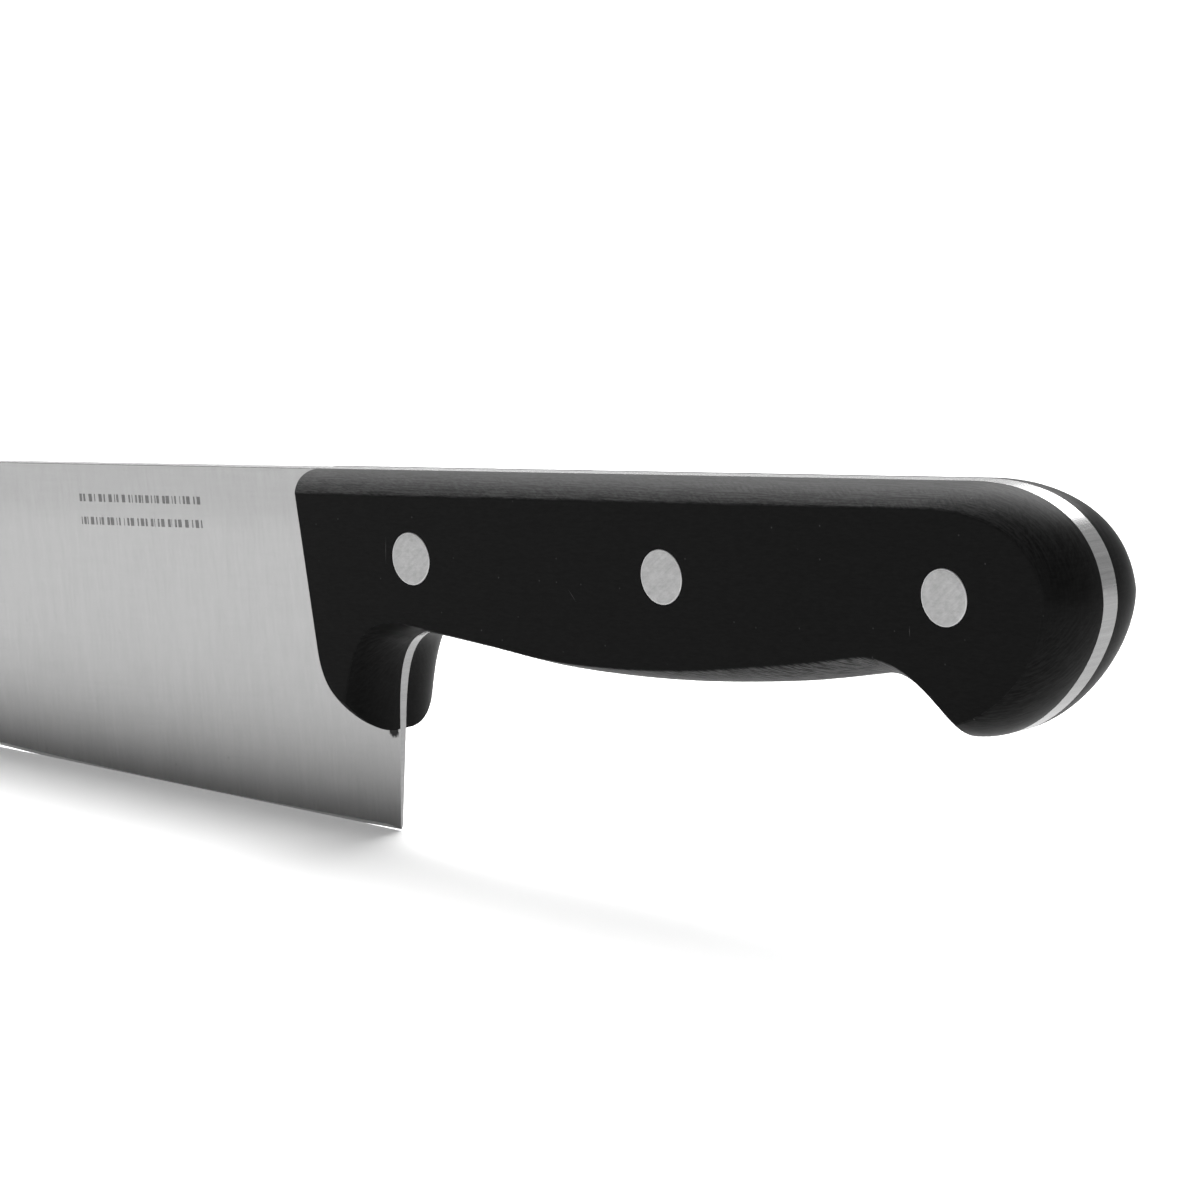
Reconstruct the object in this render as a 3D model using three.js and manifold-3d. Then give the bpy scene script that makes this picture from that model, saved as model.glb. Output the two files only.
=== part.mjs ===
// A 20 cm chef knife with a full tang, two moulded handle scales and three compression rivets.
//
// Millimetres, +Z up. The knife stands edge down: the tip points to -X, the butt to +X, and
// the blade's mid-plane is y = 0. The outlines below are drawn from the datum point where the
// spine meets the front of the handle: x grows towards the butt, and z is negative below the
// spine. The finished group is shifted so that its origin is at the middle of the overall
// length, on the mid-plane, at the lowest point of the cutting edge.

import * as THREE from 'three';
import { mergeVertices } from 'three/addons/utils/BufferGeometryUtils.js';
import Module from 'manifold-3d';

// ---------------------------------------------------------------- driving dimensions

const BLADE_LENGTH = 200;         // tip to the front of the handle
const HANDLE_LENGTH = 119.6;      // front of the handle to the butt
const HANDLE_THICKNESS = 14.8;    // across the two flat sides
const TANG_THICKNESS = 2.4;
const BOND_LINE = 0.03;           // adhesive film between the tang and each scale

const HEEL_X = 8.8;               // the heel corner stands under the front of the handle
const HEEL_DEPTH = 44.4;          // spine to heel corner
const EDGE_RISE = 11.5;           // the edge rises this much evenly from heel to tip,
const EDGE_SWEEP = 13.4;          // this much as a square,
const TIP_SWEEP_POWER = 6;        // and the rest of the way with this power, near the tip
const TIP_DROP = 7;               // how far the spine comes down to the tip
const TIP_NOSE = 0.8;             // height of the blunt nose at the very tip
const SPINE_STRAIGHT = 105;       // the spine is straight for this far ahead of the handle

const SPINE_HALF_AT_TIP = 0.5;    // half the spine's thickness at the tip
const SHOULDER_HALF = 0.19;       // half the thickness behind the sharpened bevel
const BEVEL_HEIGHT = 0.5;         // height of the sharpened bevel
const EDGE_HALF = 0.015;          // half the width of the edge itself
const GRIND_END = 14;             // behind the handle's front, the grind starts to run out
const GRIND_RUNOUT = 12;          // and it is gone after this length

const RIVET_X = [21.8, 62.3, 103.2];
const RIVET_NAMES = ['front', 'middle', 'rear'];
const RIVET_DEPTH = 9.25;         // below the spine, at the front of the handle
const RIVET_SLOPE = 0.0243;       // the rivet line falls away from the spine
const HEAD_RADIUS = 3.175;
const HEAD_HEIGHT = 2.2;
const TUBE_RADIUS = 2.2;
const PIN_RADIUS = 1.5;
const PIN_CLEARANCE = 0.05;
const HEAD_CLEARANCE = 0.03;
const HOLE_CLEARANCE = 0.1;
const TANG_HOLE_RADIUS = 2.5;
const END_GAP = 0.3;              // pin and tube stop short of the opposite head
const ROUND_SEGMENTS = 36;

const CROWN_LEVELS = 7;           // rings between a scale's flat side and the tang
const CRISP_ANGLE = THREE.MathUtils.degToRad(48);   // the crown's slope at a crisp edge

const HALF_HANDLE = HANDLE_THICKNESS / 2;
const HALF_TANG = TANG_THICKNESS / 2;
const EDGE_LENGTH = BLADE_LENGTH + HEEL_X;
const MARGIN = 1;                 // how far a cutting shape reaches past what it cuts

// ---------------------------------------------------------------- outlines

const at = (x, z) => new THREE.Vector2(x, z);
const line = (a, b) => new THREE.LineCurve(at(...a), at(...b));
const bezier = (a, b, c, d) => new THREE.CubicBezierCurve(at(...a), at(...b), at(...c), at(...d));
const through = (...points) => new THREE.SplineCurve(points.map((p) => at(...p)));

// The tang and both outlines of a scale go round the handle in the same eight runs: spine,
// upper butt, lower butt, hook, belly, notch, horn, front. Equal counts of samples on each run
// let a scale be skinned from one outline to the other.
const RUN_SAMPLES = [6, 9, 9, 9, 16, 10, 7, 4];

const tangRuns = [
  line([0, 0], [103, 0]),
  bezier([103, 0], [112.6, 0], [HANDLE_LENGTH, -4.2], [HANDLE_LENGTH, -12.2]),
  bezier([HANDLE_LENGTH, -12.2], [HANDLE_LENGTH, -18.2], [111.4, -27.45], [103.2, -27.45]),
  bezier([103.2, -27.45], [101.2, -27.45], [99.3, -20.8], [91, -21.1]),
  through([91, -21.1], [78, -22.6], [62, -23.25], [47, -22.6], [33, -20.7], [20, -19.2]),
  bezier([20, -19.2], [12.8, -19.2], [11.3, -22.6], [10.4, -31.8]),
  bezier([10.4, -31.8], [6.3, -31.2], [2.2, -27.2], [1.75, -21]),
  line([1.75, -21], [0, 0]),
];

const flatRuns = [
  line([2.25, -2.35], [101, -2.35]),
  bezier([101, -2.35], [109.5, -2.35], [116.9, -5.4], [116.9, -12]),
  bezier([116.9, -12], [116.9, -17.5], [110.5, -23.9], [103.7, -25.3]),
  bezier([103.7, -25.3], [101, -23.6], [97.6, -18.2], [90.5, -18.7]),
  through([90.5, -18.7], [78, -20.2], [62, -21.4], [46, -21.2], [33, -19.5], [19, -17.45]),
  bezier([19, -17.45], [12.2, -17.3], [10.2, -21], [8.4, -27.7]),
  bezier([8.4, -27.7], [6.6, -27.2], [4.55, -25.6], [4.15, -21]),
  line([4.15, -21], [2.25, -2.35]),
];

// How soft the scale's edge is at the start of each run: 0 keeps a crisp edge round the flat
// side, 1 rolls the flat side smoothly into the crown.
const edgeSoftness = [0, 0, 1, 0, 0, 0, 0, 0];

function sampleRuns(runs) {
  return runs.flatMap((run, r) => {
    const count = RUN_SAMPLES[r];
    return Array.from({ length: count }, (_, i) => run.getPoint(i / count));
  });
}

function sampleSoftness() {
  return RUN_SAMPLES.flatMap((count, r) => {
    const next = edgeSoftness[(r + 1) % edgeSoftness.length];
    return Array.from({ length: count }, (_, i) =>
      THREE.MathUtils.lerp(edgeSoftness[r], next, i / count));
  });
}

// ---------------------------------------------------------------- blade profile

function spineZ(x) {
  const past = Math.max(0, -x - SPINE_STRAIGHT) / (BLADE_LENGTH - SPINE_STRAIGHT);
  return -TIP_DROP * past ** 2;
}

// Depth of the cutting edge: nearly straight at the heel, then an ever quicker sweep up.
function edgeZ(x) {
  const s = THREE.MathUtils.clamp((HEEL_X - x) / EDGE_LENGTH, 0, 1);
  const tipRise = HEEL_DEPTH - TIP_DROP - TIP_NOSE - EDGE_RISE - EDGE_SWEEP;
  return -HEEL_DEPTH + EDGE_RISE * s + EDGE_SWEEP * s ** 2 + tipRise * s ** TIP_SWEEP_POWER;
}

// Places along the blade, from heel to tip, closer together near the tip.
function edgeStations() {
  const steps = 36;
  return Array.from({ length: steps + 1 }, (_, i) =>
    HEEL_X - EDGE_LENGTH * Math.sin((Math.PI / 2) * (i / steps)));
}

// The blank before grinding: the side profile of blade and tang, thicker than the sheet. Its
// outline goes round the tang to the tip of the horn, down to the heel, along the edge to the
// tip and back along the spine.
function bladeBlank() {
  const hornTip = RUN_SAMPLES.slice(0, 6).reduce((sum, count) => sum + count);
  const tang = sampleRuns(tangRuns).slice(0, hornTip + 1);
  const edge = edgeStations().map((x) => at(x, edgeZ(x)));
  const spineSteps = 10;
  const spine = Array.from({ length: spineSteps + 1 }, (_, i) => {
    const x = THREE.MathUtils.lerp(-BLADE_LENGTH, -SPINE_STRAIGHT, i / spineSteps);
    return at(x, spineZ(x));
  });
  const geometry = new THREE.ExtrudeGeometry(new THREE.Shape([...tang, ...edge, ...spine]), {
    depth: TANG_THICKNESS + 2 * MARGIN, bevelEnabled: false,
  });
  geometry.rotateX(Math.PI / 2);
  geometry.translate(0, HALF_TANG + MARGIN, 0);
  return solid(geometry);
}

// ---------------------------------------------------------------- grind envelope

// Half the steel's thickness at a share (0 spine, 1 bevel) of the blade's height: the blade is
// ground flat from the spine to the bevel, and the tang is as thick as the sheet.
function halfThickness(x, share) {
  const distal = THREE.MathUtils.clamp(-x / BLADE_LENGTH, 0, 1);
  const spineHalf = THREE.MathUtils.lerp(HALF_TANG, SPINE_HALF_AT_TIP, distal);
  const runout = THREE.MathUtils.smoothstep(x, GRIND_END, GRIND_END + GRIND_RUNOUT);
  return spineHalf - (spineHalf - SHOULDER_HALF) * share * (1 - runout);
}

// A slab round the mid-plane that has the steel's thickness everywhere and is larger than the
// steel in its own plane. The blank is cut to it, and the scales are cut away by it.
function grindEnvelope(clearance) {
  const runoutSteps = 4;
  const stations = [-BLADE_LENGTH - MARGIN, ...edgeStations().reverse()];
  for (let i = 0; i <= runoutSteps; i += 1) {
    stations.push(GRIND_END + (GRIND_RUNOUT * i) / runoutSteps);
  }
  stations.push(HANDLE_LENGTH + MARGIN);

  const rings = stations.map((x) => {
    const top = spineZ(Math.max(x, -BLADE_LENGTH));
    const bottom = edgeZ(x);
    const shoulder = bottom + Math.min(BEVEL_HEIGHT, (top - bottom) / 2);
    const side = [
      [halfThickness(x, 0), top + MARGIN],
      [halfThickness(x, 0), top],
      [halfThickness(x, 1), shoulder],
      [EDGE_HALF, bottom],
      [EDGE_HALF, bottom - MARGIN],
    ].map(([y, z]) => [y + clearance, z]);
    const other = side.map(([y, z]) => [-y, z]).reverse();
    return [...side, ...other].map(([y, z]) => new THREE.Vector3(x, y, z));
  });
  return solid(skin(rings, (p) => at(p.y, p.z)));
}

// ---------------------------------------------------------------- solids

const wasm = await Module();
wasm.setup();

// Joins rings of equal count into a closed skin, with flat ends.
function skin(rings, flatten) {
  const count = rings[0].length;
  const position = rings.flat().flatMap((p) => [p.x, p.y, p.z]);
  const index = [];
  for (let r = 0; r + 1 < rings.length; r += 1) {
    for (let i = 0; i < count; i += 1) {
      const a = r * count + i;
      const b = r * count + ((i + 1) % count);
      index.push(a, b, b + count, a, b + count, a + count);
    }
  }
  const cap = (ring, offset, reverse) => {
    const contour = ring.map(flatten);
    const clockwise = THREE.ShapeUtils.isClockWise(contour);
    if (clockwise) contour.reverse();
    const real = (i) => offset + (clockwise ? count - 1 - i : i);
    for (const [a, b, c] of THREE.ShapeUtils.triangulateShape(contour, [])) {
      const face = [real(a), real(b), real(c)];
      index.push(...(clockwise !== reverse ? face.reverse() : face));
    }
  };
  cap(rings[0], 0, true);
  cap(rings[rings.length - 1], (rings.length - 1) * count, false);
  const geometry = new THREE.BufferGeometry();
  geometry.setAttribute('position', new THREE.Float32BufferAttribute(position, 3));
  geometry.setIndex(index);
  return geometry;
}

function signedVolume(position, index) {
  const corner = [0, 1, 2].map(() => new THREE.Vector3());
  let sum = 0;
  for (let i = 0; i < index.length; i += 3) {
    corner.forEach((v, k) => v.fromArray(position, 3 * index[i + k]));
    sum += corner[0].dot(corner[1].cross(corner[2]));
  }
  return sum / 6;
}

// A closed geometry as a solid with its faces pointing out.
function solid(geometry) {
  geometry.deleteAttribute('normal');
  geometry.deleteAttribute('uv');
  const merged = mergeVertices(geometry, 1e-5);
  const vertProperties = new Float32Array(merged.attributes.position.array);
  const triVerts = new Uint32Array(merged.index.array);
  if (signedVolume(vertProperties, triVerts) < 0) triVerts.reverse();
  return new wasm.Manifold(new wasm.Mesh({ numProp: 3, vertProperties, triVerts }));
}

function meshOf(name, body, material) {
  const { vertProperties, triVerts } = body.getMesh();
  const geometry = new THREE.BufferGeometry();
  geometry.setAttribute('position', new THREE.BufferAttribute(vertProperties, 3));
  geometry.setIndex(new THREE.BufferAttribute(triVerts, 1));
  const mesh = new THREE.Mesh(geometry, material);
  mesh.name = name;
  return mesh;
}

// A round bar along Y, between y0 and y1, at a rivet's place.
function crossBar(radius, y0, y1, x) {
  const bar = new THREE.CylinderGeometry(radius, radius, Math.abs(y1 - y0), ROUND_SEGMENTS);
  bar.translate(x, (y0 + y1) / 2, rivetZ(x));
  return solid(bar);
}

function rivetZ(x) {
  return -RIVET_DEPTH - RIVET_SLOPE * x;
}

// ---------------------------------------------------------------- pieces

function blade() {
  let steel = bladeBlank().intersect(grindEnvelope(0));
  for (const x of RIVET_X) {
    steel = steel.subtract(crossBar(TANG_HOLE_RADIUS, -HALF_HANDLE, HALF_HANDLE, x));
  }
  return steel;
}

// One scale on the side given by sign (-1 or +1): its flat side, then a crown that rolls over
// to the tang's outline and meets it square.
function scale(sign) {
  const flat = sampleRuns(flatRuns);
  const tang = sampleRuns(tangRuns);
  const softness = sampleSoftness();
  const depth = HALF_HANDLE - HALF_TANG;
  const rings = [];
  for (let level = 0; level <= CROWN_LEVELS; level += 1) {
    rings.push(flat.map((p, i) => {
      const start = CRISP_ANGLE * (1 - softness[i]);
      const angle = THREE.MathUtils.lerp(start, Math.PI / 2, level / CROWN_LEVELS);
      const outward = (Math.sin(angle) - Math.sin(start)) / (1 - Math.sin(start));
      const inward = (Math.cos(start) - Math.cos(angle)) / Math.cos(start);
      const q = p.clone().lerp(tang[i], outward);
      return new THREE.Vector3(q.x, sign * (HALF_HANDLE - depth * inward), q.y);
    }));
  }
  rings.push(tang.map((p) => new THREE.Vector3(p.x, 0, p.y)));
  let body = solid(skin(rings, (p) => at(p.x, p.z))).subtract(grindEnvelope(BOND_LINE));
  for (const x of RIVET_X) {
    const seat = HALF_HANDLE - HEAD_HEIGHT - HEAD_CLEARANCE;
    body = body
      .subtract(crossBar(HEAD_RADIUS + HEAD_CLEARANCE, sign * seat, sign * HANDLE_THICKNESS, x))
      .subtract(crossBar(TUBE_RADIUS + HOLE_CLEARANCE, 0, sign * HALF_HANDLE, x));
  }
  return body;
}

// A turned rivet half about the Y axis, at a rivet's place.
function turned(profile, x) {
  const geometry = new THREE.LatheGeometry(profile.map(([r, y]) => at(r, y)), ROUND_SEGMENTS);
  geometry.translate(x, 0, rivetZ(x));
  return solid(geometry);
}

// The male half: a head on the left side and a solid pin.
function rivetMale(x) {
  const underHead = -HALF_HANDLE + HEAD_HEIGHT;
  const pinEnd = HALF_HANDLE - HEAD_HEIGHT - END_GAP;
  return turned([
    [0, -HALF_HANDLE], [HEAD_RADIUS, -HALF_HANDLE], [HEAD_RADIUS, underHead],
    [PIN_RADIUS, underHead], [PIN_RADIUS, pinEnd], [0, pinEnd],
  ], x);
}

// The female half: a head on the right side and a tube, open at its end, that takes the pin.
function rivetFemale(x) {
  const underHead = HALF_HANDLE - HEAD_HEIGHT;
  const tubeEnd = -HALF_HANDLE + HEAD_HEIGHT + END_GAP;
  const bore = PIN_RADIUS + PIN_CLEARANCE;
  return turned([
    [0, underHead], [bore, underHead], [bore, tubeEnd], [TUBE_RADIUS, tubeEnd],
    [TUBE_RADIUS, underHead], [HEAD_RADIUS, underHead], [HEAD_RADIUS, HALF_HANDLE], [0, HALF_HANDLE],
  ], x);
}

// ---------------------------------------------------------------- materials and assembly

const steel = () => new THREE.MeshStandardMaterial({ color: 0xb9babb, roughness: 0.32, metalness: 1 });
const aluminium = () => new THREE.MeshStandardMaterial({ color: 0xb0b1b2, roughness: 0.42, metalness: 1 });
const blackPom = () => new THREE.MeshStandardMaterial({ color: 0x1c1c1d, roughness: 0.55, metalness: 0 });

const knife = new THREE.Group();
knife.add(meshOf('blade', blade(), steel()));
knife.add(meshOf('left_scale', scale(-1), blackPom()));
knife.add(meshOf('right_scale', scale(1), blackPom()));
RIVET_X.forEach((x, i) => {
  knife.add(meshOf(`${RIVET_NAMES[i]}_rivet_male`, rivetMale(x), aluminium()));
  knife.add(meshOf(`${RIVET_NAMES[i]}_rivet_female`, rivetFemale(x), aluminium()));
});
knife.position.set((BLADE_LENGTH - HANDLE_LENGTH) / 2, 0, HEEL_DEPTH);

export default knife;
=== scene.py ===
"""The finished look of a full-tang chef knife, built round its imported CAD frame. Blender 4.5.

Each CAD node is replaced by a finer mesh of its shape. Only the crease at the butt end of the
scales' flat sides is moved, 0.6 mm further in, where it touches no outline or outside size.

Lengths are millimetres from a datum, the point where the spine meets the front of the handle: x
grows towards the butt, y across the blade and z is negative below the spine. place() turns them
into metres in the CAD frame.
"""

import math

import bmesh
import bpy
from mathutils import Matrix, Vector
from mathutils.geometry import delaunay_2d_cdt


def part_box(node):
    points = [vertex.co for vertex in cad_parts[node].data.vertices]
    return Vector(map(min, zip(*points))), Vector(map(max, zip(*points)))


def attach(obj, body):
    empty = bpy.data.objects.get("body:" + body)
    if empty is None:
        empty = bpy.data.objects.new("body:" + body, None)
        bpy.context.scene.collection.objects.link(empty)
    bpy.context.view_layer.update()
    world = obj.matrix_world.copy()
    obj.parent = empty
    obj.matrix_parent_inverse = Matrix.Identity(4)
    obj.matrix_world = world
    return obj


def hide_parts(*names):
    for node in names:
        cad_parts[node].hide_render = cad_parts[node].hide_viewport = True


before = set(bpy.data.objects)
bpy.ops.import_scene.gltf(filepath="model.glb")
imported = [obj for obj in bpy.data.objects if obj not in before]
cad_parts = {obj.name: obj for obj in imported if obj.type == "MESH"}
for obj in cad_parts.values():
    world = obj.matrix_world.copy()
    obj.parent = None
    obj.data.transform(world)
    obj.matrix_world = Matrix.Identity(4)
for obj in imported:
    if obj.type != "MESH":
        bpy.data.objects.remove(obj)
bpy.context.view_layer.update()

# ---------------------------------------------------------------- sizes, in millimetres

MM = 0.001
BLADE_LENGTH = 200
BLADE_LOW, BLADE_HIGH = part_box("blade")
DATUM = Vector((BLADE_LOW.x + BLADE_LENGTH * MM, 0, BLADE_HIGH.z))
HANDLE_LENGTH = (BLADE_HIGH.x - DATUM.x) / MM
HEEL_DEPTH = (BLADE_HIGH.z - BLADE_LOW.z) / MM
HALF_TANG = BLADE_HIGH.y / MM
HALF_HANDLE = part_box("right_scale")[1].y / MM
BOND_LINE = 0.03                  # gap between the steel and a scale

HEEL_X = 8.8                      # how far the heel's corner lies behind the handle's front
EDGE_LENGTH = BLADE_LENGTH + HEEL_X
EDGE_RISE = 11.5                  # steady rise of the edge from heel to tip
EDGE_SWEEP = 13.4                 # and its further rise with the square of the way
TIP_SWEEP_POWER = 6               # the rest of the rise comes with this power of the way
TIP_DROP = 7
TIP_NOSE = 0.8                    # height left between spine and edge at the tip
SPINE_STRAIGHT = 105              # the spine is straight this far ahead of the handle

SPINE_HALF_AT_TIP = 0.5           # half thicknesses of the steel
SHOULDER_HALF = 0.19
EDGE_HALF = 0.015
BEVEL_HEIGHT = 0.5
GRIND_END = 14                    # the flat grind starts to run out here, inside the handle
GRIND_RUNOUT = 12
SPINE_BREAK = 0.1                 # radius that breaks the spine's two long edges
FLUSH_BREAK = 0.01                # and the same where the tang is flush with the scales

RIVETS = ["front", "middle", "rear"]
HEAD_HEIGHT = 2.2
HEAD_CLEARANCE = 0.03
HEAD_EDGE = 0.12                  # radius of the rounded edge round each rivet head
TUBE_RADIUS = 2.2
PIN_RADIUS = 1.5
PIN_CLEARANCE = 0.05
HOLE_CLEARANCE = 0.1
TANG_HOLE_RADIUS = 2.5
END_GAP = 0.3                     # pin and tube stop this far short of the other half's head

CRISP_ANGLE = math.radians(48)    # how steeply the crown leaves the flat side at a full crease
CREASE_WIDTH = 0.16               # how far the crease round the flat side is rolled over


def place(x, y, z):
    return DATUM + Vector((x, y, z)) * MM


def lerp(a, b, t):
    return a + (b - a) * t


def clamp(value, low, high):
    return max(low, min(high, value))


def smoothstep(value, low, high):
    t = clamp((value - low) / (high - low), 0, 1)
    return t * t * (3 - 2 * t)


# ---------------------------------------------------------------- outlines


def line(a, b):
    return lambda t: Vector(a).lerp(Vector(b), t)


def bezier(a, b, c, d):
    a, b, c, d = map(Vector, (a, b, c, d))
    return lambda t: (a * (1 - t) ** 3 + b * 3 * t * (1 - t) ** 2
                      + c * 3 * t * t * (1 - t) + d * t ** 3)


def through(*points):
    """A Catmull-Rom curve through the points."""
    points = [Vector(p) for p in points]
    last = len(points) - 1

    def curve(t):
        i = min(int(t * last), last - 1)
        w = t * last - i
        before, start = points[max(i - 1, 0)], points[i]
        end, after = points[i + 1], points[min(i + 2, last)]
        v0, v1 = (end - before) / 2, (after - start) / 2
        return ((2 * start - 2 * end + v0 + v1) * w ** 3
                + (3 * end - 3 * start - 2 * v0 - v1) * w ** 2 + v0 * w + start)
    return curve


# The tang and the flat side of a scale go round the handle in the same eight runs.
RUN_NAMES = ["spine", "upper_butt", "lower_butt", "hook", "belly", "notch", "horn", "front"]
RUN_SAMPLES = [90, 44, 44, 40, 80, 50, 34, 24]

TANG_RUNS = [
    line((0, 0), (103, 0)),
    bezier((103, 0), (112.6, 0), (HANDLE_LENGTH, -4.2), (HANDLE_LENGTH, -12.2)),
    bezier((HANDLE_LENGTH, -12.2), (HANDLE_LENGTH, -18.2), (111.4, -27.45), (103.2, -27.45)),
    bezier((103.2, -27.45), (101.2, -27.45), (99.3, -20.8), (91, -21.1)),
    through((91, -21.1), (78, -22.6), (62, -23.25), (47, -22.6), (33, -20.7), (20, -19.2)),
    bezier((20, -19.2), (12.8, -19.2), (11.3, -22.6), (10.4, -31.8)),
    bezier((10.4, -31.8), (6.3, -31.2), (2.2, -27.2), (1.75, -21)),
    line((1.75, -21), (0, 0)),
]

FLAT_RUNS = [
    line((2.25, -2.35), (101, -2.35)),
    bezier((101, -2.35), (109.5, -2.35), (116.3, -5.4), (116.3, -12)),
    bezier((116.3, -12), (116.3, -17.5), (110.5, -23.9), (103.7, -25.3)),
    bezier((103.7, -25.3), (101, -23.6), (97.6, -18.2), (90.5, -18.7)),
    through((90.5, -18.7), (78, -20.2), (62, -21.4), (46, -21.2), (33, -19.5), (19, -17.45)),
    bezier((19, -17.45), (12.2, -17.3), (10.2, -21), (8.4, -27.7)),
    bezier((8.4, -27.7), (6.6, -27.2), (4.55, -25.6), (4.15, -21)),
    line((4.15, -21), (2.25, -2.35)),
]

# At the start of each run: 1 rolls the flat side smoothly into the crown, 0 keeps a crease.
EDGE_SOFTNESS = [0, 0, 1, 0, 0, 0, 0, 0]
# At the start of each run: how roughly the crown is sanded. The lines show as its square.
CROWN_SANDING = [1, 1, 0.2, 0.3, 1, 0.25, 0.15, 0.2]
CREASE_HIGHLIGHT = 0.12                # finish mark of a painted highlight line along the crease


def sample_runs(runs):
    return [run(i / count) for run, count in zip(runs, RUN_SAMPLES) for i in range(count)]


def sample_per_run(values):
    """A value given at the start of each run, spread evenly along the runs."""
    following = values[1:] + values[:1]
    return [lerp(a, b, i / count)
            for a, b, count in zip(values, following, RUN_SAMPLES) for i in range(count)]


# ---------------------------------------------------------------- blade laws


def spine_z(x):
    past = max(0, -x - SPINE_STRAIGHT) / (BLADE_LENGTH - SPINE_STRAIGHT)
    return -TIP_DROP * past ** 2


def edge_z(x):
    way = clamp((HEEL_X - x) / EDGE_LENGTH, 0, 1)
    tip_rise = HEEL_DEPTH - TIP_DROP - TIP_NOSE - EDGE_RISE - EDGE_SWEEP
    rise = EDGE_RISE * way + EDGE_SWEEP * way ** 2 + tip_rise * way ** TIP_SWEEP_POWER
    return rise - HEEL_DEPTH


def shoulder_z(x):
    return edge_z(x) + min(BEVEL_HEIGHT, (spine_z(x) - edge_z(x)) / 2)


def steel_half(x, z):
    """Half the steel's thickness: ground flat from spine to bevel, full sheet in the tang."""
    spine_half = lerp(HALF_TANG, SPINE_HALF_AT_TIP, clamp(-x / BLADE_LENGTH, 0, 1))
    ground = 1 - smoothstep(x, GRIND_END, GRIND_END + GRIND_RUNOUT)
    share = clamp((spine_z(x) - z) / (spine_z(x) - shoulder_z(x)), 0, 1)
    half = spine_half - (spine_half - SHOULDER_HALF) * share * ground
    if z < shoulder_z(x):
        down = (shoulder_z(x) - z) / (shoulder_z(x) - edge_z(x))
        half = lerp(half, EDGE_HALF, min(down, 1))
    return half


# ---------------------------------------------------------------- mesh tools

SHARP_ANGLE = math.radians(16)


class Shell:
    """A growing mesh, in millimetres from the datum, with a grain map and finish marks.

    The grain map is a UV map in millimetres along and across the way the surface was sanded.
    The finish mark is 0 on the main surface and up to 1 where it is finished another way or
    painted
    lighter: on a scale's crown, where a painted highlight line also runs along the crease, the
    blade's edge, which is rougher and painted brighter as a highlight, or the rounded edge of a
    rivet's head, which carries a painted highlight.
    """

    def __init__(self):
        self.points = []
        self.marks = []
        self.faces = []
        self.grain = []

    def ring(self, points, marks=None):
        start = len(self.points)
        self.points += [tuple(p) for p in points]
        self.marks += marks or [0.0] * len(points)
        return list(range(start, len(self.points)))

    def face(self, corners, grain=None):
        self.faces.append(corners)
        self.grain.append(grain or [(self.points[c][0], self.points[c][2]) for c in corners])

    def join(self, a, b, along=None, across_a=None, across_b=None):
        """Quads between two rings of equal count. along has one value more than a ring."""
        count = len(a)
        for i in range(count):
            j = (i + 1) % count
            grain = None
            if along:
                grain = [(along[i], across_a[i]), (along[i + 1], across_a[j]),
                         (along[i + 1], across_b[j]), (along[i], across_b[i])]
            self.face((a[i], a[j], b[j], b[i]), grain)

    def fill(self, loops, inner=()):
        """Triangles inside the first loop and outside the others, seen along y."""
        vertices = [v for loop in loops for v in loop] + list(inner)
        flat = [Vector((self.points[v][0], self.points[v][2])) for v in vertices]
        edges, start = [], 0
        for loop in loops:
            count = len(loop)
            edges += [(start + i, start + (i + 1) % count) for i in range(count)]
            start += count
        inside, tolerance = 1, 1e-5
        places, _, triangles, sources = delaunay_2d_cdt(flat, edges, [], inside, tolerance)[:4]
        holes = [[(self.points[v][0], self.points[v][2]) for v in loop] for loop in loops[1:]]
        for triangle in triangles:
            middle = sum((places[v] for v in triangle), Vector((0, 0))) / 3
            if not any(encloses(hole, middle) for hole in holes):
                self.face(tuple(vertices[sources[v][0]] for v in triangle))

    def piece(self, name, material, replaced):
        mesh = bpy.data.meshes.new(name)
        mesh.from_pydata([place(*p) for p in self.points], [], self.faces)
        mesh.attributes.new("finish", "FLOAT", "POINT").data.foreach_set("value", self.marks)
        grain = mesh.uv_layers.new(name="grain")
        grain.data.foreach_set("uv", [n for face in self.grain for uv in face for n in uv])
        obj = bpy.data.objects.new(name, mesh)
        bpy.context.scene.collection.objects.link(obj)
        face_outwards(mesh)
        finish_mesh(mesh, material)
        weigh = obj.modifiers.new("flat faces stay flat", "WEIGHTED_NORMAL")
        weigh.keep_sharp = True
        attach(obj, "root")
        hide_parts(*replaced)
        return obj


def encloses(loop, point):
    """Whether a closed loop of (x, z) goes round a point."""
    inside = False
    for a, b in zip(loop, loop[1:] + loop[:1]):
        if (a[1] > point[1]) != (b[1] > point[1]):
            crossing = lerp(a[0], b[0], (point[1] - a[1]) / (b[1] - a[1]))
            inside ^= crossing > point[0]
    return inside


def face_outwards(mesh):
    work = bmesh.new()
    work.from_mesh(mesh)
    bmesh.ops.recalc_face_normals(work, faces=work.faces)
    work.to_mesh(mesh)
    work.free()


def finish_mesh(mesh, material):
    mesh.materials.clear()
    mesh.materials.append(material)
    mesh.shade_smooth()
    mesh.set_sharp_from_angle(angle=SHARP_ANGLE)


def circle(x, y, z, radius, count=72):
    turn = 2 * math.pi / count
    return [(x + radius * math.cos(i * turn), y, z + radius * math.sin(i * turn))
            for i in range(count)]


def rivet_place(name):
    """A rivet's x and z, and its head's radius, from the CAD frame."""
    low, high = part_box(name + "_rivet_male")
    middle = ((low + high) / 2 - DATUM) / MM
    return middle.x, middle.z, (high.x - low.x) / 2 / MM


# ---------------------------------------------------------------- blade


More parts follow.
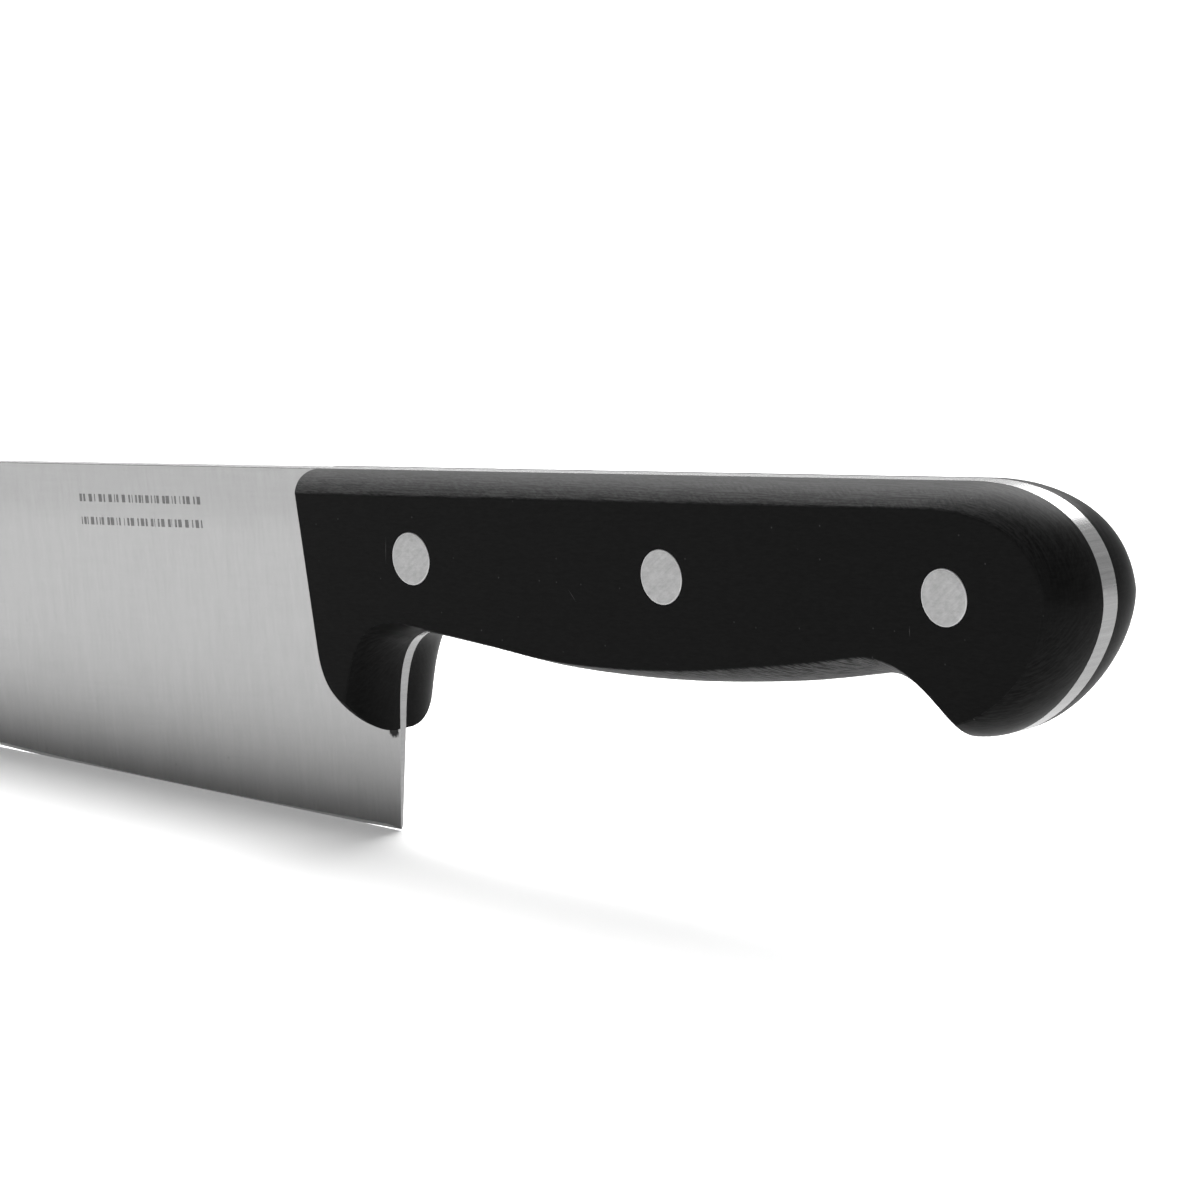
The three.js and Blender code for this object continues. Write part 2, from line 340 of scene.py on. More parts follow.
def rib_ends():
    """Top and bottom of each rib of the blade and tang, from the tip to the butt."""
    edge_steps, heel_steps, tang_steps, butt_steps = 150, 24, 30, 40
    quarter = math.pi / 2
    ends = []
    for i in range(edge_steps):
        x = HEEL_X - EDGE_LENGTH * math.sin(quarter * (1 - i / edge_steps))
        ends.append(((x, spine_z(x)), (x, edge_z(x))))
    horn_tip = TANG_RUNS[RUN_NAMES.index("notch")](1)
    for i in range(heel_steps):
        bottom = Vector((HEEL_X, -HEEL_DEPTH)).lerp(horn_tip, i / heel_steps)
        ends.append(((bottom.x, 0), bottom))
    for name in ("notch", "belly", "hook"):
        for i in range(tang_steps):
            bottom = TANG_RUNS[RUN_NAMES.index(name)](1 - i / tang_steps)
            ends.append(((bottom.x, 0), bottom))
    upper, lower = (TANG_RUNS[RUN_NAMES.index(n)] for n in ("upper_butt", "lower_butt"))
    for i in range(butt_steps):
        t = math.sin(quarter * i / butt_steps)
        ends.append((upper(t), lower(1 - t)))
    return ends


def rib(top, bottom):
    """The steel's cross-section on the line from top to bottom, left side down, right side up."""
    arc_steps, side_steps, smallest = 8, 12, 0.02
    behind_front = smoothstep(top[0], -1, 0.5)
    radius = lerp(SPINE_BREAK, FLUSH_BREAK, behind_front)
    half = steel_half(*top)
    side = []
    for i in range(arc_steps):
        a = math.pi / 2 * i / arc_steps
        side.append((top[0], half - radius + radius * math.sin(a),
                     top[1] - radius + radius * math.cos(a)))
    start = Vector((top[0], top[1] - radius))
    shoulder = max(shoulder_z(bottom[0]), bottom[1] + smallest)
    end = Vector((lerp(bottom[0], top[0], smallest), shoulder))
    for i in range(side_steps + 1):
        p = start.lerp(end, i / side_steps)
        side.append((p.x, steel_half(p.x, p.y), p.y))
    side.append((bottom[0], steel_half(*bottom), bottom[1]))
    return [(x, -y, z) for x, y, z in side] + [(x, y, z) for x, y, z in reversed(side)]


def blade(material):
    shell = Shell()
    rings = []
    for top, bottom in rib_ends():
        points = rib(top, bottom)
        marks = [0.0] * len(points)
        # finish mark on the edge's bevel, which is rougher and painted brighter as a highlight
        if bottom[0] <= HEEL_X:
            lowest = len(points) // 2
            marks[lowest - 1] = marks[lowest] = 1.0
        rings.append(shell.ring(points, marks))
    for a, b in zip(rings, rings[1:]):
        shell.join(a, b)
    shell.face(tuple(rings[0]))
    shell.face(tuple(reversed(rings[-1])))
    obj = shell.piece("blade_steel", material, ["blade"])
    drill(obj, [rivet_place(name)[:2] for name in RIVETS], TANG_HOLE_RADIUS)
    finish_mesh(obj.data, material)
    mark_bevel_shoulder(obj.data)


def drill(obj, centres, radius):
    """Cuts round holes across the blade through obj's mesh, before its normals are weighted."""
    drills = Shell()
    for x, z in centres:
        ends = [drills.ring(circle(x, y, z, radius)) for y in (-HALF_HANDLE, HALF_HANDLE)]
        drills.join(*ends)
        drills.face(tuple(ends[0]))
        drills.face(tuple(ends[1]))
    mesh = bpy.data.meshes.new("drills")
    mesh.from_pydata([place(*p) for p in drills.points], [], drills.faces)
    face_outwards(mesh)
    cutter = bpy.data.objects.new("drills", mesh)
    bpy.context.scene.collection.objects.link(cutter)
    cut = obj.modifiers.new("holes", "BOOLEAN")
    cut.operation = "DIFFERENCE"
    cut.solver = "EXACT"
    cut.object = cutter
    weigh = obj.modifiers[0]
    weigh.show_viewport = False
    graph = bpy.context.evaluated_depsgraph_get()
    drilled = bpy.data.meshes.new_from_object(obj.evaluated_get(graph), depsgraph=graph)
    obj.modifiers.remove(cut)
    weigh.show_viewport = True
    obj.data = drilled
    bpy.data.objects.remove(cutter)


def mark_bevel_shoulder(mesh):
    """The crease between the blade's side and its bevel is too flat an angle to show unmarked."""
    tolerance = 0.02

    def on_shoulder(vertex):
        p = (vertex.co - DATUM) / MM
        return p.x <= HEEL_X and abs(p.z - shoulder_z(p.x)) < tolerance
    marked = {v.index for v in mesh.vertices if on_shoulder(v)}
    for edge in mesh.edges:
        if marked.issuperset(edge.vertices):
            edge.use_edge_sharp = True


# ---------------------------------------------------------------- scales


CREASE_STEPS = 5
CROWN_STEPS = 26


def crown_column(edge, rim, softness):
    """Points from the flat side's edge, over the crease and the crown, to the tang's rim."""
    start = CRISP_ANGLE * (1 - softness)
    depth = HALF_HANDLE - HALF_TANG - BOND_LINE

    def crown_point(t):
        angle = lerp(start, math.pi / 2, t)
        outward = (math.sin(angle) - math.sin(start)) / (1 - math.sin(start))
        inward = (math.cos(start) - math.cos(angle)) / math.cos(start)
        p = edge.lerp(rim, outward)
        return Vector((p.x, HALF_HANDLE - depth * inward, p.y))

    crease_end = 0.04
    outward = (rim - edge).normalized() * CREASE_WIDTH
    corner = crown_point(0)
    first = corner - Vector((outward.x, 0, outward.y))
    last = crown_point(crease_end)
    column = []
    for i in range(CREASE_STEPS):
        t = i / CREASE_STEPS
        column.append(first.lerp(corner, t).lerp(corner.lerp(last, t), t))
    for i in range(CROWN_STEPS):
        column.append(crown_point(lerp(crease_end, 1, i / CROWN_STEPS)))
    column.append(Vector((rim.x, steel_half(rim.x, rim.y) + BOND_LINE, rim.y)))
    return column


def crown_rings(sign):
    """Rings from a scale's flat side over its crown to the tang, with their finish marks."""
    columns = [crown_column(edge, rim, softness) for edge, rim, softness in zip(
        sample_runs(FLAT_RUNS), sample_runs(TANG_RUNS), sample_per_run(EDGE_SOFTNESS))]
    rings = [[(p.x, sign * p.y, p.z) for p in ring] for ring in zip(*columns)]
    sanding = sample_per_run(CROWN_SANDING)
    marks = [[min(1, i / CREASE_STEPS) * roughness ** 2 for roughness in sanding]
             for i in range(len(rings))]
    # the middle crease ring is painted lighter: a highlight line along the crease
    painted_highlight_ring = CREASE_STEPS // 2
    marks[painted_highlight_ring] = [max(CREASE_HIGHLIGHT, mark) for mark in marks[painted_highlight_ring]]
    return list(zip(rings, marks))


def arc_lengths(ring):
    """Distance round a closed ring at each of its points, and once more at the first."""
    total, lengths = 0, [0]
    for a, b in zip(ring, ring[1:] + ring[:1]):
        total += (Vector(b) - Vector(a)).length
        lengths.append(total)
    return lengths


def join_crown(shell, crown):
    """Adds the crown to the shell and returns its first and last ring."""
    along = arc_lengths(crown[len(crown) // 2][0])
    across = [0.0] * len(crown[0][0])
    rings = [shell.ring(points, marks) for points, marks in crown]
    for a, b in zip(rings, rings[1:]):
        further = [d + (Vector(shell.points[w]) - Vector(shell.points[v])).length
                   for d, v, w in zip(across, a, b)]
        shell.join(a, b, along, across, further)
        across = further
    return rings[0], rings[-1]


def rivet_holes(shell, sign):
    """Adds the walls of a scale's rivet holes and returns their outer and inner ends."""
    outer_ends, inner_ends = [], []
    for name in RIVETS:
        x, z, head = rivet_place(name)
        wide, narrow = head + HEAD_CLEARANCE, TUBE_RADIUS + HOLE_CLEARANCE
        seat = sign * (HALF_HANDLE - HEAD_HEIGHT - HEAD_CLEARANCE)
        inside = sign * (HALF_TANG + BOND_LINE)
        steps = [(sign * HALF_HANDLE, wide), (seat, wide), (seat, narrow), (inside, narrow)]
        rings = [shell.ring(circle(x, y, z, radius)) for y, radius in steps]
        for a, b in zip(rings, rings[1:]):
            shell.join(a, b)
        outer_ends.append(rings[0])
        inner_ends.append(rings[-1])
    return outer_ends, inner_ends


def scale(sign, name, material):
    """One handle scale: sign is -1 for the left side and +1 for the right."""
    shell = Shell()
    crown = crown_rings(sign)
    flat_loop, inner_loop = join_crown(shell, crown)
    outer_ends, inner_ends = rivet_holes(shell, sign)
    shell.fill([flat_loop] + outer_ends)
    on_grind = shell.ring(points_over_grind(crown[-1][0], sign))
    shell.fill([inner_loop] + inner_ends, on_grind)
    shell.piece(name, material, [name.replace("_pom", "")])


def points_over_grind(outline, sign):
    """A grid inside the outline where the steel's side isn't flat, for a scale's inner face."""
    spacing, margin = 1.5, 1.0
    last_x = GRIND_END + GRIND_RUNOUT
    points = []
    for i in range(int(last_x / spacing) + 1):
        x = i * spacing
        crossings = []
        for a, b in zip(outline, outline[1:] + outline[:1]):
            if (a[0] - x) * (b[0] - x) < 0:
                crossings.append(lerp(a[2], b[2], (x - a[0]) / (b[0] - a[0])))
        crossings.sort()
        for low, high in zip(crossings[::2], crossings[1::2]):
            z = low + margin
            while z < high - margin:
                if outside_holes(x, z):
                    points.append((x, sign * (steel_half(x, z) + BOND_LINE), z))
                z += spacing
    return points


def outside_holes(x, z):
    margin = 0.3
    clear = TUBE_RADIUS + HOLE_CLEARANCE + margin
    return all(math.dist((x, z), rivet_place(name)[:2]) > clear for name in RIVETS)


# ---------------------------------------------------------------- rivets


def head_profile(radius, face, under):
    """Radius and y from the middle of a head's face, over its rounded edge, to under the head."""
    edge_steps, rings_on_face = 6, (0.3, 0.6, 0.85)
    inward = math.copysign(1, under - face)
    profile = [(radius * share, face) for share in rings_on_face]
    for i in range(edge_steps + 1):
        a = math.pi / 2 * i / edge_steps
        profile.append((radius - HEAD_EDGE + HEAD_EDGE * math.sin(a),
                        face + inward * HEAD_EDGE * (1 - math.cos(a))))
    return profile + [(radius, under)]


def turned(name, profile, x, z, material, replaced):
    """A closed solid of revolution about a line along y, from a profile of radius and y."""
    shell = Shell()
    widest = max(radius for radius, _ in profile)
    rings = []
    for radius, y in profile:
        points = circle(x, y, z, radius)
        # rings on the head's rounded edge are marked for a painted highlight
        painted_highlight_ring = float(radius >= widest - HEAD_EDGE)
        rings.append(shell.ring(points, [painted_highlight_ring] * len(points)))
    for a, b in zip(rings, rings[1:]):
        shell.join(a, b)
    shell.face(tuple(rings[0]))
    shell.face(tuple(rings[-1]))
    shell.piece(name, material, [replaced])


def rivet(name, material):
    x, z, radius = rivet_place(name)
    under = HALF_HANDLE - HEAD_HEIGHT
    bore = PIN_RADIUS + PIN_CLEARANCE
    male = head_profile(radius, -HALF_HANDLE, -under)
    male += [(PIN_RADIUS, -under), (PIN_RADIUS, under - END_GAP)]
    female = head_profile(radius, HALF_HANDLE, under)
    female += [(TUBE_RADIUS, under), (TUBE_RADIUS, END_GAP - under),
               (bore, END_GAP - under), (bore, under)]
    for half, profile in (("male", male), ("female", female)):
        turned(f"{name}_rivet_{half}_half", profile, x, z, material, f"{name}_rivet_{half}")


# ---------------------------------------------------------------- materials


class Graph:
    """Shorthand for a material's nodes. Inputs may be numbers, tuples or other nodes' outputs.

    Most patterns lie in the frame, with scales in repeats per metre along x, y and z. Those on
    the grain map have scales in repeats per millimetre along and across the sanding.
    """

    def __init__(self, name):
        self.material = bpy.data.materials.new(name)
        self.material.use_nodes = True
        self.nodes = self.material.node_tree.nodes
        self.links = self.material.node_tree.links
        self.surface = self.nodes["Principled BSDF"]

    def feed(self, socket, value):
        if isinstance(value, bpy.types.NodeSocket):
            self.links.new(value, socket)
        else:
            socket.default_value = value

    def add(self, kind, inputs=None, **settings):
        node = self.nodes.new("ShaderNode" + kind)
        for key, value in settings.items():
            setattr(node, key, value)
        for key, value in (inputs or {}).items():
            self.feed(node.inputs[key], value)
        return node.outputs

    def math(self, operation, a, b=0.0, c=0.0, clamp=False):
        inputs = {0: a, 1: b, 2: c}
        return self.add("Math", inputs, operation=operation, use_clamp=clamp)[0]

    def ramp(self, value, low, high, to_low=0.0, to_high=1.0):
        """value from low to high, smoothly mapped to to_low to to_high."""
        inputs = {"Value": value, "From Min": low, "From Max": high,
                  "To Min": to_low, "To Max": to_high}
        return self.add("MapRange", inputs, interpolation_type="SMOOTHSTEP")["Result"]

    def stretch(self, vector, scale, turn=0.0):
        """Coordinates turned about their third axis, then scaled."""
        turned_by = self.add("Mapping", {"Vector": vector, "Rotation": (0, 0, turn)})[0]
        return self.add("Mapping", {"Vector": turned_by, "Scale": scale})[0]

    def noise(self, vector, detail=2.0, roughness=0.5):
        inputs = {"Vector": vector, "Scale": 1.0, "Detail": detail, "Roughness": roughness}
        return self.add("TexNoise", inputs)["Fac"]

    def mix(self, factor, a, b):
        inputs = {0: factor, 2: a, 3: b}
        return self.add("Mix", inputs, data_type="FLOAT", clamp_factor=True)[0]

    def grey(self, value):
        return self.add("CombineColor", {0: value, 1: value, 2: value})[0]

    def bump(self, height, distance, strength):
        inputs = {"Height": height, "Distance": distance, "Strength": strength}
        return self.add("Bump", inputs)[0]

    def finish(self, inputs):
        for key, value in inputs.items():
            self.feed(self.surface.inputs[key], value)


def metre_coordinates(g):
    return g.add("TexCoord")["Object"]


def surface_normal(g):
    return g.add("SeparateXYZ", {0: g.add("NewGeometry")["Normal"]})


def finish_mark(g):
    return g.add("Attribute", attribute_name="finish")["Fac"]


def off_middle(g, pattern):
    """A pattern of 0 to 1 shifted so that it swings about 0."""
    return g.math("SUBTRACT", pattern, 0.5)


def brush_lines(g, where, end_face):
    """Grinding lines: from spine to edge on the sides, and across the steel on its end faces."""
    fine = g.noise(g.stretch(where, (2300, 60, 260)), 3.0, 0.7)
    broad = g.noise(g.stretch(where, (700, 30, 70)), 2.0, 0.5)
    crossing = g.noise(g.stretch(where, (110, 60, 2400)), 3.0, 0.6)
    side_lines = g.mix(0.25, g.mix(0.35, fine, broad), crossing)
    end_lines = g.noise(g.stretch(where, (500, 60, 2600)), 4.0, 0.7)
    return g.mix(end_face, side_lines, end_lines)


def painted_shade_at_spine(g, where):
    """1 on most of the blade, a little less along the spine: a painted shade for the darker
    reflection there.
    """
    depth = g.math("SUBTRACT", DATUM.z, g.add("SeparateXYZ", {0: where})["Z"])
    return g.ramp(depth, 4 * MM, 9 * MM, 0.91, 1.0)


def brushed_steel():
    """Stainless steel with fine brush lines, a painted shade along the spine, a rougher bevel
    painted brighter as a highlight, cloudy patches and a few pits.
    """
    g = Graph("brushed_stainless")
    steel_tone, bevel_highlight_tone, stain_tone, end_face_share = 0.50, 0.9, 0.04, 0.72
    steel_rough, bevel_rough, stain_rough = 0.22, 0.55, 0.6
    line_contrast, end_line_contrast, cloud_contrast = 0.26, 0.30, 0.04
    where = metre_coordinates(g)
    normal = surface_normal(g)
    end_face = g.ramp(g.math("ABSOLUTE", normal["X"]), 0.45, 0.75)
    lines = brush_lines(g, where, end_face)
    line_swing = off_middle(g, lines)
    cloud_swing = off_middle(g, g.noise(g.stretch(where, (55, 55, 40)), 3.0, 0.55))
    contrast = g.mix(end_face, line_contrast, end_line_contrast)
    tone = g.math("MULTIPLY_ADD", line_swing, contrast, steel_tone)
    tone = g.math("MULTIPLY_ADD", cloud_swing, cloud_contrast, tone)
    # the sides carry a painted shade along the spine; end faces are toned down by a fixed share
    tone = g.math("MULTIPLY", tone, g.mix(end_face, painted_shade_at_spine(g, where), end_face_share))
    rough = g.math("MULTIPLY_ADD", line_swing, 0.14, steel_rough)
    rough = g.math("MULTIPLY_ADD", cloud_swing, 0.05, rough)
    # the rougher bevel is also painted brighter: a painted highlight along the edge
    bevel = g.ramp(finish_mark(g), 0.05, 0.2)
    tone = g.mix(bevel, tone, bevel_highlight_tone)
    rough = g.mix(bevel, rough, bevel_rough)
    stain = g.math("MAXIMUM", etched_rows(g, where, normal), residue(g, where))
    pits = g.math("MULTIPLY", specks(g, where, per_metre=110, radius=0.25, share=0.2), 0.25)
    tone = g.mix(g.math("MAXIMUM", stain, pits), tone, stain_tone)
    rough = g.mix(stain, rough, stain_rough)
    g.finish({"Base Color": g.grey(tone), "Metallic": 1.0, "Roughness": rough,
              "Anisotropic": 0.55, "Tangent": g.add("CombineXYZ", {"Z": 1.0})[0],
              "Normal": g.bump(lines, 0.004 * MM, 0.5)})
    return g.material


def near_point(g, where, x, z, radius):
    """1 near a point of the side view, falling to 0 at about the radius, all in millimetres."""
    wobble = off_middle(g, g.noise(g.stretch(where, (2500, 2500, 2500)), 2.0))
    offset = g.add("VectorMath", {0: where, 1: place(x, 0, z)}, operation="SUBTRACT")[0]
    in_side_view = g.add("VectorMath", {0: offset, 1: (1, 0, 1)}, operation="MULTIPLY")[0]
    distance = g.add("VectorMath", {0: in_side_view}, operation="LENGTH")["Value"]
    distance = g.math("MULTIPLY_ADD", wobble, radius * MM, distance)
    return g.ramp(distance, 0.75 * radius * MM, 1.15 * radius * MM, 1.0, 0.0)


def residue(g, where):
    """Dark residue where the scales' lower tips and front corners meet the steel."""
    tip = near_point(g, where, x=9.2, z=-32.0, radius=0.9)
    corner = near_point(g, where, x=-0.5, z=-0.3, radius=0.3)
    return g.math("MAXIMUM", g.math("MULTIPLY", tip, 0.95), g.math("MULTIPLY", corner, 0.5))


def specks(g, where, per_metre, radius, share):
    """Tiny spots in the side view, of a radius in millimetres, in a share of a random grid."""
    parts = g.add("SeparateXYZ", {0: where})
    side = g.add("CombineXYZ", {0: parts["X"], 1: parts["Z"]})[0]
    cells = g.add("TexVoronoi", {"Vector": side, "Scale": per_metre}, voronoi_dimensions="2D")
    size = radius * MM * per_metre
    near = g.ramp(cells["Distance"], 0.4 * size, size, 1.0, 0.0)
    chance = g.add("SeparateColor", {0: cells["Color"]})
    chosen = g.math("GREATER_THAN", chance[0], 1 - share)
    return g.math("MULTIPLY", g.math("MULTIPLY", near, chosen), chance[1])


def etched_rows(g, where, normal):
    """Two short rows of fine plain ticks near the spine, in place of any lettering."""
    first_x, last_x = -46.5 * MM, -22.5 * MM
    row_depths, row_height = (4.4 * MM, 7.4 * MM), 1.0 * MM
    ticks_per_metre, next_row, darkness = 1500, 17.0, 0.55
    parts = g.add("SeparateXYZ", {0: where})
    x = g.math("SUBTRACT", parts["X"], DATUM.x)
    depth = g.math("SUBTRACT", DATUM.z, parts["Z"])
    mark = 0.0
    for row, row_depth in enumerate(row_depths):
        off_row = g.math("ABSOLUTE", g.math("SUBTRACT", depth, row_depth))
        in_row = g.math("LESS_THAN", off_row, row_height / 2)
        position = g.math("MULTIPLY_ADD", x, ticks_per_metre, next_row * row)
        ticks = g.add("TexNoise", {"W": position, "Scale": 1.0, "Detail": 0.0},
                      noise_dimensions="1D")["Fac"]
        in_tick = g.math("GREATER_THAN", ticks, 0.5)
        mark = g.math("MAXIMUM", mark, g.math("MULTIPLY", in_row, in_tick))
    inside = g.math("MULTIPLY", g.math("GREATER_THAN", x, first_x),
                    g.math("LESS_THAN", x, last_x))
    left_side = g.math("LESS_THAN", normal["Y"], -0.5)
    mark = g.math("MULTIPLY", mark, g.math("MULTIPLY", inside, left_side))
    return g.math("MULTIPLY", mark, darkness)


def sanding_lines(g, grain, underside):
    """Lines along the crown, with slanting ones in patches and over most of its underside."""
    lean, slant = math.radians(1.5), math.radians(32)
    streaks = g.noise(g.stretch(grain, (0.16, 3.2, 1.0), lean), 3.0, 0.7)
    grit = g.noise(g.stretch(grain, (0.9, 5.0, 1.0), lean), 4.0, 0.8)
    lengthwise = g.mix(0.55, streaks, grit)
    slanting = g.noise(g.stretch(grain, (0.45, 3.6, 1.0), slant), 3.0, 0.7)
    patches = g.noise(g.stretch(grain, (0.12, 0.5, 1.0)), 2.0, 0.5)
    slanting_share = g.math("MAXIMUM", g.ramp(patches, 0.4, 0.65, 0.05, 0.35), underside)
    return g.mix(slanting_share, lengthwise, slanting)


def black_pom():
    """Black moulded acetal: the flat side is smooth and the crown keeps pale sanding lines,
    painted lighter on its underside as a highlight.
    """
    g = Graph("black_acetal")
    flat_tone, groove_tone, ridge_tone, underside_ridge_highlight_tone = 0.0075, 0.012, 0.060, 0.155
    skin_contrast, pale_tone = 0.010, 0.22
    flat_rough, crown_rough, line_contrast = 0.34, 0.48, 0.35
    where = metre_coordinates(g)
    sanded = finish_mark(g)
    underside = g.ramp(surface_normal(g)["Z"], -0.35, 0.0, 0.85, 0.0)
    lines = sanding_lines(g, g.add("UVMap", uv_map="grain")[0], underside)
    skin = g.noise(g.stretch(where, (900, 900, 4200)), 3.0, 0.7)
    # sanding ridges facing down are painted lighter: a highlight standing in for their sheen in
    # the floor's light
    ridge_and_underside_highlight = g.mix(underside, ridge_tone, underside_ridge_highlight_tone)
    crown_tone = g.mix(g.ramp(lines, 0.42, 0.595), groove_tone, ridge_and_underside_highlight)
    tone = g.mix(sanded, flat_tone, crown_tone)
    tone = g.math("MULTIPLY_ADD", off_middle(g, skin), skin_contrast, tone)
    dust = g.math("MULTIPLY", specks(g, where, per_metre=300, radius=0.14, share=0.25), 0.2)
    tone = g.mix(g.math("MAXIMUM", dust, scuffs(g, where)), tone, pale_tone)
    line_swing = g.math("MULTIPLY", off_middle(g, lines), sanded)
    rough = g.mix(sanded, flat_rough, crown_rough)
    rough = g.math("MULTIPLY_ADD", line_swing, line_contrast, rough)
    height = g.mix(sanded, g.math("MULTIPLY", skin, 0.25), lines)
    g.finish({"Base Color": g.grey(tone), "Roughness": rough,
              "Specular IOR Level": g.mix(sanded, 0.055, 0.05),
              "Normal": g.bump(height, 0.04 * MM, 0.8)})
    return g.material


def scuffs(g, where):
    """A few short fine scratches on the flat sides: each starts at x, z and leans as it drops."""
    width, strength = 0.05 * MM, 0.25
    scratches = [(17.8, -7.2, 3.4, -0.1), (47.5, -12.5, 1.6, 0.8), (98.2, -14.9, 1.3, 0.0)]
    parts = g.add("SeparateXYZ", {0: where})
    mask = 0.0
    for x, z, drop, lean in scratches:
        start = place(x, 0, z)
        down = g.math("SUBTRACT", start.z, parts["Z"])
        line_x = g.math("MULTIPLY_ADD", down, lean, start.x)
        aside = g.math("ABSOLUTE", g.math("SUBTRACT", parts["X"], line_x))
        along = g.math("PINGPONG", g.math("DIVIDE", down, drop * MM, clamp=True), 0.5)
        inside = g.math("LESS_THAN", aside, g.math("MULTIPLY", along, 2 * width))
        mask = g.math("MAXIMUM", mask, inside)
    return g.math("MULTIPLY", mask, strength)


def rivet_aluminium():
    """Aluminium sanded flush with the scales, with stray scratches and a painted highlight round
    each head's rounded edge.
    """
    g = Graph("sanded_aluminium")
    face_tone, rim_highlight_tone, tone_contrast = 0.475, 0.66, 0.75
    face_rough, rough_contrast = 0.38, 0.3
    where = metre_coordinates(g)
    lines = g.noise(g.stretch(where, (500, 200, 2600)), 4.0, 0.75)
    leaning = g.add("Mapping", {"Vector": where, "Rotation": (0, math.radians(35), 0)})[0]
    stray = g.noise(g.stretch(leaning, (350, 200, 3000)), 3.0, 0.7)
    mottle = g.noise(g.stretch(where, (1600, 200, 1800)), 3.0, 0.6)
    scratches = g.mix(0.35, g.mix(0.5, lines, stray), mottle)
    swing = off_middle(g, scratches)
    tone = g.math("MULTIPLY_ADD", swing, tone_contrast, face_tone)
    # painted highlight round the head's rounded edge
    tone = g.mix(g.ramp(finish_mark(g), 0.75, 1.0), tone, rim_highlight_tone)
    rough = g.math("MULTIPLY_ADD", swing, rough_contrast, face_rough)
    g.finish({"Base Color": g.grey(tone), "Metallic": 1.0, "Roughness": rough,
              "Normal": g.bump(scratches, 0.006 * MM, 0.6)})
    return g.material


# ---------------------------------------------------------------- stage

# The knife stands on the belly of its edge with the butt held high, so in the knife's frame the
# floor is pitched, and it touches the edge where the edge has the same slope.
FLOOR_PITCH = math.radians(4.5)
PAPER_GIVE = 0.3                  # the edge sinks this far into the soft paper


def floor_contact():
    """The edge point at which the pitched floor is a tangent."""
    step = 0.5
    x = HEEL_X - step
    while (edge_z(x - step) - edge_z(x)) / step < math.tan(FLOOR_PITCH):
        x -= step
    return place(x, 0, edge_z(x) + PAPER_GIVE)


def white_paper():
    """Paper that is exposed to near white for the camera, and can be looked through from below."""
    g = Graph("floor_paper")
    bounced, photographed, lift = 0.86, 1.48, 0.1
    to_camera = g.add("LightPath")["Is Camera Ray"]
    paper = g.add("BsdfDiffuse", {"Color": g.grey(g.mix(to_camera, bounced, photographed))})[0]
    glow = g.add("Emission", {"Strength": g.mix(to_camera, 0.0, lift)})[0]
    paper = g.add("AddShader", {0: paper, 1: glow})[0]
    from_below = g.add("NewGeometry")["Backfacing"]
    clear = g.add("BsdfTransparent")[0]
    seen = g.add("MixShader", {0: from_below, 1: paper, 2: clear})[0]
    g.links.new(seen, g.nodes["Material Output"].inputs["Surface"])
    return g.material


def make_floor():
    half_size = 12.0
    mesh = bpy.data.meshes.new("floor")
    corners = [(-1, -1), (1, -1), (1, 1), (-1, 1)]
    mesh.from_pydata([(a * half_size, b * half_size, 0) for a, b in corners], [], [(0, 1, 2, 3)])
    mesh.materials.append(white_paper())
    floor = bpy.data.objects.new("floor", mesh)
    floor.location = floor_contact()
    floor.rotation_euler = (0, FLOOR_PITCH, 0)
    bpy.context.scene.collection.objects.link(floor)


def make_key_light():
    """A broad soft light from above, behind the blade and to its tip's side."""
    shining = Vector((0.33, -0.48, -0.81))
    light = bpy.data.lights.new("key", "SUN")
    light.energy = 4.0
    light.angle = math.radians(55)
    key = bpy.data.objects.new("key", light)
    key.rotation_mode = "QUATERNION"
    key.rotation_quaternion = shining.to_track_quat("-Z", "Y")
    bpy.context.scene.collection.objects.link(key)


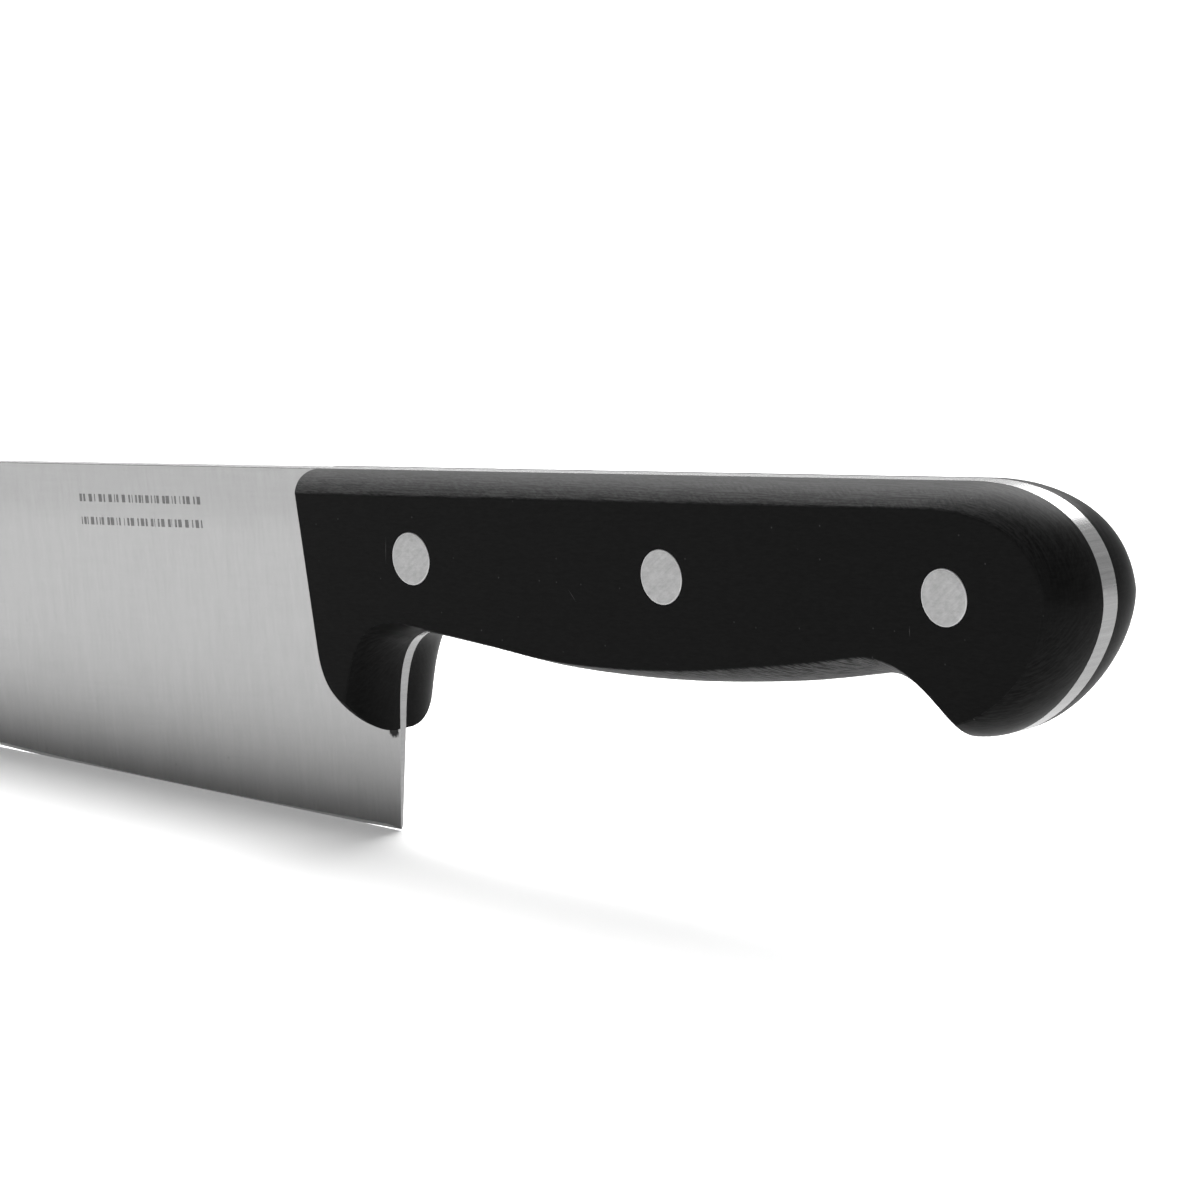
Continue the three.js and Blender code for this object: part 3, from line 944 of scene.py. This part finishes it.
def make_world():
    """A white backdrop behind the knife, and a dimmer room in front of it.

    Reflections show both; the camera sees plain white and matt surfaces get an even fill.
    """
    seen, fill, bright, dim = 1.0, 0.25, 0.6, 0.22
    backdrop_direction = (-0.5, 0.86, 0)
    backdrop_fade = (-0.2, 0.5)
    world = bpy.data.worlds.new("studio")
    world.use_nodes = True
    nodes, links = world.node_tree.nodes, world.node_tree.links
    path = nodes.new("ShaderNodeLightPath")
    direction = nodes.new("ShaderNodeTexCoord").outputs["Generated"]
    behind = nodes.new("ShaderNodeVectorMath")
    behind.operation = "DOT_PRODUCT"
    behind.inputs[1].default_value = backdrop_direction
    links.new(direction, behind.inputs[0])
    room = nodes.new("ShaderNodeMapRange")
    room.interpolation_type = "SMOOTHSTEP"
    for name, value in zip(("From Min", "From Max", "To Min", "To Max"),
                           (*backdrop_fade, dim, bright)):
        room.inputs[name].default_value = value
    links.new(behind.outputs["Value"], room.inputs["Value"])
    level = room.outputs["Result"]
    for kind, value in (("Is Diffuse Ray", fill), ("Is Camera Ray", seen)):
        choice = nodes.new("ShaderNodeMix")
        choice.inputs["B"].default_value = value
        links.new(path.outputs[kind], choice.inputs["Factor"])
        links.new(level, choice.inputs["A"])
        level = choice.outputs["Result"]
    links.new(level, nodes["Background"].inputs["Color"])
    bpy.context.scene.world = world


def make_camera():
    """Looks at the handle from its left and the butt's end, slightly from above."""
    azimuth, elevation, roll = (math.radians(a) for a in (44.38, 6.83, -4.02))
    distance, lens = 0.5224, 135.4
    target = place(45.3, 0, -14.9)
    sensor_width = 36
    back = Vector((math.sin(azimuth) * math.cos(elevation),
                   -math.cos(azimuth) * math.cos(elevation), math.sin(elevation)))
    data = bpy.data.cameras.new("camera")
    data.lens = lens
    data.sensor_width = sensor_width
    data.clip_start = 0.01
    camera = bpy.data.objects.new("camera", data)
    camera.location = target + back * distance
    facing = (-back).to_track_quat("-Z", "Y").to_matrix()
    camera.rotation_euler = (facing @ Matrix.Rotation(roll, 3, "Z")).to_euler()
    bpy.context.scene.collection.objects.link(camera)
    bpy.context.scene.camera = camera


# ---------------------------------------------------------------- assembly

blade(brushed_steel())
pom = black_pom()
scale(-1, "left_scale_pom", pom)
scale(1, "right_scale_pom", pom)
aluminium = rivet_aluminium()
for rivet_name in RIVETS:
    rivet(rivet_name, aluminium)

make_floor()
make_world()
make_key_light()
make_camera()
bpy.context.scene.view_settings.view_transform = "Standard"
